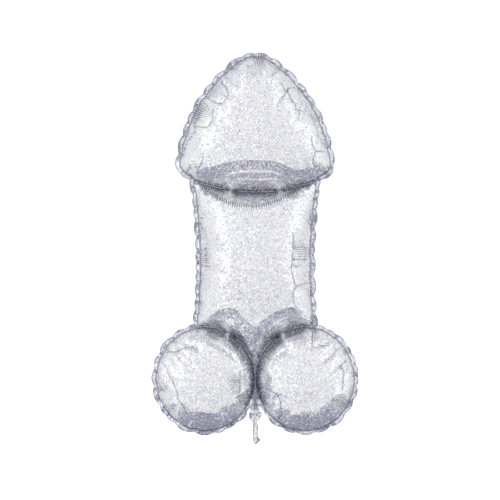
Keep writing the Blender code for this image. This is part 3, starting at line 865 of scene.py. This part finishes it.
def metallisedPolyester():
    m, tree, shader = newMaterial("metallisedPolyester")
    add = partial(addNode, tree)
    f = foilFinish
    times, mixed = {"operation": "MULTIPLY"}, {"data_type": "RGBA"}
    soft = {"interpolation_type": "SMOOTHSTEP"}
    place = add("ShaderNodeTexCoord").outputs["Object"]
    normal = add("ShaderNodeNewGeometry").outputs["Normal"]
    gap, hatch, fold, web, streak, run, out = [
        add("ShaderNodeAttribute", {"attribute_name": title}).outputs["Fac"] for title in pointValues]
    cells = add("ShaderNodeTexVoronoi", {"feature": "F1"},
                {"Vector": place, "Scale": 1 / f["sparkleSize"]}).outputs["Color"]
    # pastel tint and brightness of each sparkle cell
    split = add("ShaderNodeSeparateColor", {}, {"Color": cells}).outputs
    value = add("ShaderNodeMapRange", {}, {"Value": split["Green"], "To Min": 1 - f["valueSpread"]})
    tint = add("ShaderNodeCombineColor", {"mode": "HSV"},
               {"Red": split["Red"], "Green": f["pastel"], "Blue": value})
    silver = add("ShaderNodeMix", {"data_type": "RGBA", "blend_type": "MULTIPLY"},
                 {0: 1, 6: linearColor(f["silver"]), 7: tint})
    # fine pleats that run in from the seam, where the hatching lies: bumps, with their dark dashes painted
    # shade
    wobble = add("ShaderNodeTexNoise", {}, {"Vector": place, "Scale": f["wobbleScale"], "Detail": 2})
    bend = add("ShaderNodeMath", times, {0: wobble, 1: f["wobble"]})
    rate = 2 * math.pi / f["pleatPitch"]
    phase = add("ShaderNodeMath", {"operation": "MULTIPLY_ADD"}, {0: run, 1: rate, 2: bend})
    wave = add("ShaderNodeMath", {"operation": "SINE"}, {0: phase})
    masked = add("ShaderNodeMath", times, {0: wave, 1: hatch})
    pleated = add("ShaderNodeBump", {}, {"Strength": 1, "Distance": f["pleatHeight"], "Height": masked})
    paintedPleatShade = add("ShaderNodeMath", {"operation": "MULTIPLY_ADD", "use_clamp": True},
               {0: wave, 1: f["dashes"][0], 2: f["dashes"][1]})
    paintedPleatShade = add("ShaderNodeMath", times, {0: paintedPleatShade, 1: hatch})
    paintedPleatShade = add("ShaderNodeMath", times, {0: paintedPleatShade, 1: f["hatchShade"]})
    # painted shade in streaks that follow the weld over each lobe, and in dark patches on the flat edge
    ahead = add("ShaderNodeMath", times, {0: run, 1: f["streakStretch"]})
    beside = add("ShaderNodeCombineXYZ", {}, {"X": gap, "Y": ahead})
    grain = add("ShaderNodeTexNoise", {}, {"Vector": beside, "Scale": 1 / f["weldShadePitch"], "Detail": 2})
    patch = add("ShaderNodeTexNoise", {}, {"Vector": place, "Scale": f["patchScale"], "Detail": 3})
    onEdge, patched, cut, creased, streaks = [
        add("ShaderNodeMapRange", soft,
            {"Value": source, "From Min": f[mark][0], "From Max": f[mark][1], "To Max": f[mark][2]})
        for source, mark in ((out, "edgeMark"), (patch, "patchMark"), (out, "cutMark"), (fold, "creaseShadeMark"),
                             (grain, "streakMark"))]
    streaks = add("ShaderNodeMath", times, {0: streaks, 1: streak})
    # painted shade on the web between the lobes
    webbed = add("ShaderNodeMath", times, {0: web, 1: f["webShade"]})
    # the dull line of the seal, and with it the darkest of the other marks:
    # the cut and the painted shade of creases, web, pleats and streaks
    line = add("ShaderNodeMapRange", soft, {
        "Value": gap, "From Min": f["sealWidth"] * f["sealCore"], "From Max": f["sealWidth"],
        "To Min": f["sealShade"], "To Max": 0})
    for mark in (cut, creased, webbed, paintedPleatShade, streaks):
        line = add("ShaderNodeMath", {"operation": "MAXIMUM"}, {0: line, 1: mark})
    edge = add("ShaderNodeMix", mixed,
               {0: patched, 6: linearColor(f["edgeTone"]), 7: linearColor(f["paintedEdgePatchShade"])})
    dulled = add("ShaderNodeMix", mixed, {0: onEdge, 6: silver.outputs[2], 7: edge.outputs[2]})
    toned = add("ShaderNodeMix", mixed, {0: line, 6: dulled.outputs[2], 7: linearColor(f["sealAndShadeTone"])})
    tree.links.new(toned.outputs[2], shader.inputs["Base Color"])
    # each sparkle cell leans its own way, the mirror a little and the lacquer grating much more
    lean = add("ShaderNodeVectorMath", {"operation": "SUBTRACT"}, {0: cells, 1: (0.5, 0.5, 0.5)})
    # the back sheet is the same film turned round, so its cells lean the other way along Y
    depth = add("ShaderNodeSeparateXYZ", {}, {"Vector": normal}).outputs["Y"]
    turned = add("ShaderNodeMath", {"operation": "SIGN"}, {0: depth})
    turned = add("ShaderNodeMath", times, {0: turned, 1: -1.0})
    turned = add("ShaderNodeCombineXYZ", {}, {"X": 1.0, "Y": turned, "Z": 1.0})
    lean = add("ShaderNodeVectorMath", times, {0: lean, 1: turned})
    glint = add("ShaderNodeMapRange", {}, {
        "Value": split["Green"], "From Min": f["glintShare"], "From Max": f["glintShare"] + f["glintStep"],
        "To Min": f["glintTilt"], "To Max": f["sparkleTilt"]})
    upward = add("ShaderNodeVectorMath", {"operation": "ADD"}, {0: lean, 1: (0, 0, f["glintRise"])})
    for base, way, amount, socket in ((pleated, upward, glint, "Normal"),
                                      (normal, lean, f["lacquerTilt"], "Coat Normal")):
        scaled = add("ShaderNodeVectorMath", {"operation": "SCALE"}, {0: way, "Scale": amount})
        tipped = add("ShaderNodeVectorMath", {"operation": "ADD"}, {0: scaled, 1: base})
        unit = add("ShaderNodeVectorMath", {"operation": "NORMALIZE"}, {0: tipped})
        tree.links.new(unit.outputs[0], shader.inputs[socket])
    rough = add("ShaderNodeMapRange", {}, {
        "Value": split["Red"], "From Min": f["roughFrom"],
        "To Min": f["smoothCell"], "To Max": f["roughCell"]})
    tree.links.new(rough.outputs["Result"], shader.inputs["Roughness"])
    shader.inputs["Metallic"].default_value = 1
    shader.inputs["Coat Weight"].default_value = 1
    shader.inputs["Coat Roughness"].default_value = f["lacquerRoughness"]
    shader.inputs["Coat IOR"].default_value = f["lacquerIor"]
    return m


def spreadOver(faces, moves, held, passes):
    # evens the moves out over the points that aren't held at the seam
    ends = np.array([(f[k], f[k - 1]) for f in faces for k in range(3)])
    ends = ends[~held[ends].any(axis=1)]
    ends = np.vstack((ends, ends[:, ::-1]))
    near = np.bincount(ends[:, 0], minlength=len(moves))[:, None].clip(1)
    moves = np.where(held[:, None], 0, moves)
    for _ in range(passes):
        total = np.column_stack([np.bincount(ends[:, 0], moves[ends[:, 1], k], len(moves)) for k in range(3)])
        moves = (moves + total / near) / 2
    return moves


plan = wholePlan()
back, raised, faces = twoPlyMesh(plan)
shape = pressedShape(plan, raised)
blown = blowUp(plan, raised, faces)
held = np.concatenate((~plan["lifted"], np.zeros(len(raised), bool)))
blown += inflation["formEase"] * spreadOver(faces, shape - blown, held, inflation["formPasses"])
share = inflation["weldEase"] * easeOut(2 * plan["weldGap"] - 1)
share = np.concatenate((share, share[raised]))[:, None]
shape = blown * (1 - share) + shape * share
print("blown up:", np.ptp(shape, axis=0).round(4).tolist())
foil = metallisedPolyester()
frontFoil = makeFoilPly("frontFoil", plan, shape, np.arange(len(plan["flat"])), plan["faces"].tolist(), -1)
backFoil = makeFoilPly("backFoil", plan, shape, back, plan["faces"][:, ::-1].tolist(), 1)
for ply, node in ((frontFoil, "front_sheet"), (backFoil, "back_sheet")):
    ply.data.materials.append(foil)
    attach(ply, "root")
    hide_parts(node)


# The two clear valve sheets that show beside the tail and below it
valve = {
    "gap": 0.00006,
    "ripple": 0.0005,
    "rippleRates": (160, 90),
    "farthest": -1.25,  # beyond this the sheet keeps the tail's depth, in half widths of the tail
    "columns": 14,
    "rows": 70,
    # height, left and right edge
    "edges": (
        (-0.0600, -0.0004, 0.0022), (-0.0560, -0.0014, 0.0030), (-0.0500, -0.0044, 0.0030),
        (-0.0440, -0.0074, 0.0028), (-0.0360, -0.0108, 0.0026), (-0.0200, -0.0130, 0.0024),
        (-0.0080, -0.0128, 0.0020), (0.0000, -0.0050, 0.0024), (0.0080, -0.0058, 0.0052),
        (0.0240, -0.0060, 0.0060),
    ),
}


def makeValveSheet(name, side):
    # one clear sheet that follows the tail; side is -1 for the front and 1 for the back
    rows, made = np.array(valve["edges"]), []
    rateX, rateZ = valve["rippleRates"]
    for z in np.linspace(rows[0, 0], rows[-1, 0], valve["rows"]):
        left, right = np.interp(z, rows[:, 0], rows[:, 1]), np.interp(z, rows[:, 0], rows[:, 2])
        low, high = tailAcross(-1, z), tailAcross(1, z)
        for x in np.linspace(left, right, valve["columns"]):
            u = (2 * x - low - high) / (high - low)
            ripple = valve["ripple"] * noise.noise(Vector((x * rateX, z * rateZ, 2.5))) if u < -1 else 0
            made.append((x, tailDepth(max(valve["farthest"], u), z) + ripple + side * valve["gap"], z))
    wide, quads = valve["columns"], []
    for row in range(valve["rows"] - 1):
        for k in range(row * wide, (row + 1) * wide - 1):
            quad = (k, k + 1, k + wide + 1, k + wide)
            quads.append(quad if side < 0 else quad[::-1])
    mesh = bpy.data.meshes.new(name)
    mesh.from_pydata(made, [], quads)
    mesh.shade_smooth()
    return addObject(name, mesh)


# Clear polyethylene, blown film: almost unseen, with a waxy glint along its creases
clearFinish = {
    "tone": "#F4F6F8",
    "roughness": 0.14,
    "alphaLow": 0.06,
    "alphaHigh": 0.30,
    "streak": 0.0016,
    "streakStretch": 0.12,
    "streakMark": (0.35, 0.7),
    "creaseStrength": 0.6,
    "creaseHeight": 0.0002,
    "ior": 1.51,
}


def clearPolyethylene():
    m, tree, shader = newMaterial("clearPolyethyleneFilm")
    add = partial(addNode, tree)
    f = clearFinish
    place = add("ShaderNodeTexCoord").outputs["Object"]
    long = add("ShaderNodeMapping", {}, {"Vector": place, "Scale": (1, 1, f["streakStretch"])})
    streaks = add("ShaderNodeTexNoise", {},
                  {"Vector": long, "Scale": 1 / f["streak"], "Detail": 2})
    alpha = add("ShaderNodeMapRange", {}, {
        "Value": streaks, "From Min": f["streakMark"][0], "From Max": f["streakMark"][1],
        "To Min": f["alphaLow"], "To Max": f["alphaHigh"]})
    tree.links.new(alpha.outputs["Result"], shader.inputs["Alpha"])
    crease = add("ShaderNodeBump", {}, {
        "Strength": f["creaseStrength"], "Distance": f["creaseHeight"], "Height": streaks})
    tree.links.new(crease.outputs["Normal"], shader.inputs["Normal"])
    shader.inputs["Base Color"].default_value = linearColor(f["tone"])
    shader.inputs["Roughness"].default_value = f["roughness"]
    shader.inputs["IOR"].default_value = f["ior"]
    return m


clear = clearPolyethylene()
for name, node, side in (("valveFrontSheet", "valve_front_film", -1),
                         ("valveBackSheet", "valve_back_film", 1)):
    sheet = makeValveSheet(name, side)
    sheet.data.materials.append(clear)
    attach(sheet, "root")
    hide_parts(node)
print("valve sheets made")


# Studio: a pale floor well below the balloon, in a bright room with a tall soft glow on each side
studio = {
    "floorHeight": -0.45,
    "floorHalf": 60.0,
    "floorTone": "#F7F7F7",
    "floorGrain": 40,
    "floorRough": (0.8, 0.9),
    "underEdge": -0.64,  # sine of the angle below which the foil mirrors the dim floor under it
    "under": "#A2A2B4",
    "deepUnder": "#9C9CB0",
    "room": "#FFFFFF",
    "roomPower": 1.04,
    "underRight": 0.22,  # the dim floor shows higher up on the right, from this far round and down to this
    "rightFrom": 0.4,
    "rightDown": -0.4,
    "underSoft": (0.004, 0.006),
    "ceilingEdge": 0.88,
    "ceilingSoft": 0.06,
    "ceiling": "#BCBECC",
    # degrees round from the front, half width, how much brighter, and the heights between which they rise
    "glows": ((-56, 13, 0.68), (72, 19, 0.38)),
    "glowFoot": (-0.2, 0.1),
    "skyPower": 1.5,
    "skyWide": math.radians(60),
    "boxes": ((-1.15, -1.05, 0.56), (1.25, -1.02, 0.56), (-1.15, 1.05, 0.56), (1.25, 1.02, 0.56)),
    "boxWide": 0.42,
    "boxTall": 1.5,
    "boxPower": 5.0,
    "boxAim": (0, 0, 0.45),
}


def paintedFloor():
    # matt white floor paint, rolled: even and dull
    m, tree, shader = newMaterial("paintedStudioFloor")
    add = partial(addNode, tree)
    place = add("ShaderNodeTexCoord").outputs["Object"]
    grain = add("ShaderNodeTexNoise", {}, {"Vector": place, "Scale": studio["floorGrain"]})
    even, dull = studio["floorRough"]
    rough = add("ShaderNodeMapRange", {}, {"Value": grain, "To Min": even, "To Max": dull})
    tree.links.new(rough.outputs["Result"], shader.inputs["Roughness"])
    shader.inputs["Base Color"].default_value = linearColor(studio["floorTone"])
    return m


def makeFloor():
    half, height = studio["floorHalf"], studio["floorHeight"]
    corners = [(x * half, y * half, height) for x, y in ((-1, -1), (1, -1), (1, 1), (-1, 1))]
    mesh = bpy.data.meshes.new("studioFloor")
    mesh.from_pydata(corners, [], [(0, 1, 2, 3)])
    mesh.materials.append(paintedFloor())
    floor = addObject("studioFloor", mesh)
    floor.visible_glossy = False


def makeRoom():
    # the room round the balloon: dim below, pale round about and grey overhead, with the two glows
    world = bpy.data.worlds.new("studioRoom")
    bpy.context.scene.world = world
    world.use_nodes = True
    tree = world.node_tree
    add = partial(addNode, tree)
    way = add("ShaderNodeTexCoord").outputs["Generated"]
    rise = add("ShaderNodeSeparateXYZ", {}, {"Vector": way}).outputs["Z"]
    level = add("ShaderNodeVectorMath", {"operation": "MULTIPLY"}, {0: way, 1: (1, 1, 0)})
    level = add("ShaderNodeVectorMath", {"operation": "NORMALIZE"}, {0: level})
    across = add("ShaderNodeSeparateXYZ", {}, {"Vector": level}).outputs["X"]
    right = add("ShaderNodeMapRange", {},
                {"Value": across, "From Min": studio["rightFrom"], "To Max": studio["underRight"]})
    low = add("ShaderNodeMapRange", {},
              {"Value": rise, "From Min": 0, "From Max": studio["rightDown"]})
    lifted = add("ShaderNodeMath", {"operation": "MULTIPLY"}, {0: right, 1: low})
    shown = add("ShaderNodeMath", {"operation": "SUBTRACT"}, {0: rise, 1: lifted})
    spread = add("ShaderNodeMapRange", {}, {"Value": shown, "From Min": -1})
    ramp = add("ShaderNodeValToRGB", {}, {"Fac": spread})
    edge, top = (studio["underEdge"] + 1) / 2, (studio["ceilingEdge"] + 1) / 2
    stops = ramp.color_ramp.elements
    stops[0].position, stops[0].color = 0, linearColor(studio["deepUnder"])
    stops[1].position, stops[1].color = 1, linearColor(studio["ceiling"])
    below, above = studio["underSoft"]
    for position, colour in ((edge - below, studio["under"]), (edge + above, studio["room"]),
                             (top, studio["room"]), (top + studio["ceilingSoft"], studio["ceiling"])):
        stop = stops.new(position)
        stop.color = linearColor(colour)
    soft = {"interpolation_type": "SMOOTHSTEP"}
    foot, full = studio["glowFoot"]
    standing = add("ShaderNodeMapRange", soft, {"Value": rise, "From Min": foot, "From Max": full})
    bright = ramp.outputs["Color"]
    for turn, wide, power in studio["glows"]:
        turn, outer, inner = math.radians(turn), math.radians(1.5 * wide), math.radians(0.5 * wide)
        ahead = add("ShaderNodeVectorMath", {"operation": "DOT_PRODUCT"},
                    {0: level, 1: (math.sin(turn), -math.cos(turn), 0)}).outputs["Value"]
        strip = add("ShaderNodeMapRange", soft, {
            "Value": ahead, "From Min": math.cos(outer), "From Max": math.cos(inner), "To Max": power})
        gain = add("ShaderNodeMath", {"operation": "MULTIPLY_ADD"}, {0: strip, 1: standing, 2: 1.0})
        bright = add("ShaderNodeVectorMath", {"operation": "SCALE"}, {0: bright, "Scale": gain})
    tree.links.new(bright.outputs[0], tree.nodes["Background"].inputs["Color"])
    tree.nodes["Background"].inputs["Strength"].default_value = studio["roomPower"]


def makeLamps():
    sky = bpy.data.lights.new("ceilingLight", "SUN")
    sky.energy, sky.angle = studio["skyPower"], studio["skyWide"]
    lamps = [(addObject("ceilingLight", sky), (0, 0, 3), (0, 0, 0))]
    for k, spot in enumerate(studio["boxes"]):
        box = bpy.data.lights.new("softBox" + str(k), "AREA")
        box.shape, box.size, box.size_y = "RECTANGLE", studio["boxWide"], studio["boxTall"]
        box.energy = studio["boxPower"]
        turn = (Vector(studio["boxAim"]) - Vector(spot)).to_track_quat("-Z", "Y").to_euler()
        lamps.append((addObject("softBox" + str(k), box), spot, turn))
    for lamp, spot, turn in lamps:
        lamp.location, lamp.rotation_euler = spot, turn
        lamp.visible_camera = lamp.visible_glossy = False


view = {"place": (-0.0127, -6.0, 0.4152), "lens": 180}


def makeCamera():
    lens = bpy.data.cameras.new("camera")
    lens.lens = view["lens"]
    camera = addObject("camera", lens)
    camera.location = view["place"]
    camera.rotation_euler = (math.radians(90), 0, 0)
    bpy.context.scene.camera = camera
    bpy.context.scene.view_settings.view_transform = "Standard"


makeFloor()
makeRoom()
makeLamps()
makeCamera()
print("studio ready")
